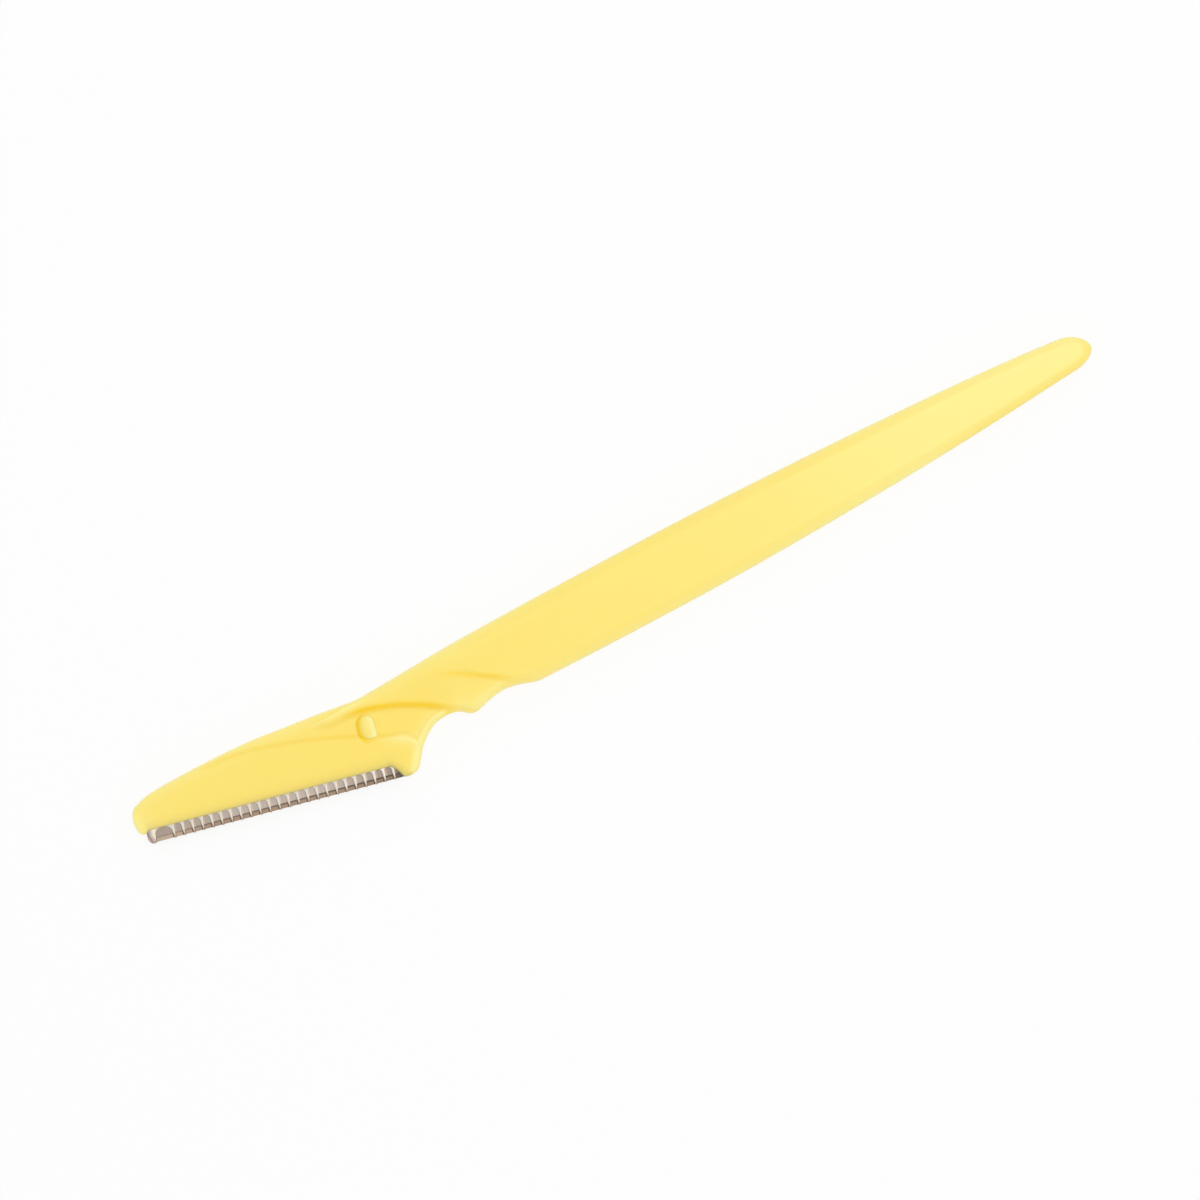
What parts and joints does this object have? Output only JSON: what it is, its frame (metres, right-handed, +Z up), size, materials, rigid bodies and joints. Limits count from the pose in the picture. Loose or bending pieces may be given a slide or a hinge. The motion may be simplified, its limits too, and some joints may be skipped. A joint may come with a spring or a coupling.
{
  "type": "eyebrow razor",
  "caption": "Slim flat moulded handle with two finger rests and a tilted head that holds a short straight blade under a thin slotted guard.",
  "frame": {"origin": "middle of the razor's length and width, on the surface that its flat side lies on", "axes": "+X from the nose along the grip to the tail, +Y towards the spine and away from the cutting edge, +Z up, square to the flat sides"},
  "size_m": [0.1504, 0.0152, 0.0038],
  "materials": {
    "yellow_plastic": "satin moulded",
    "blade_steel": "fine ground",
    "guard_steel": "bright pressed"
  },
  "bodies": {
    "root": {"handle": "yellow_plastic", "blade": "blade_steel", "blade_guard": "guard_steel"}
  },
  "joints": []
}
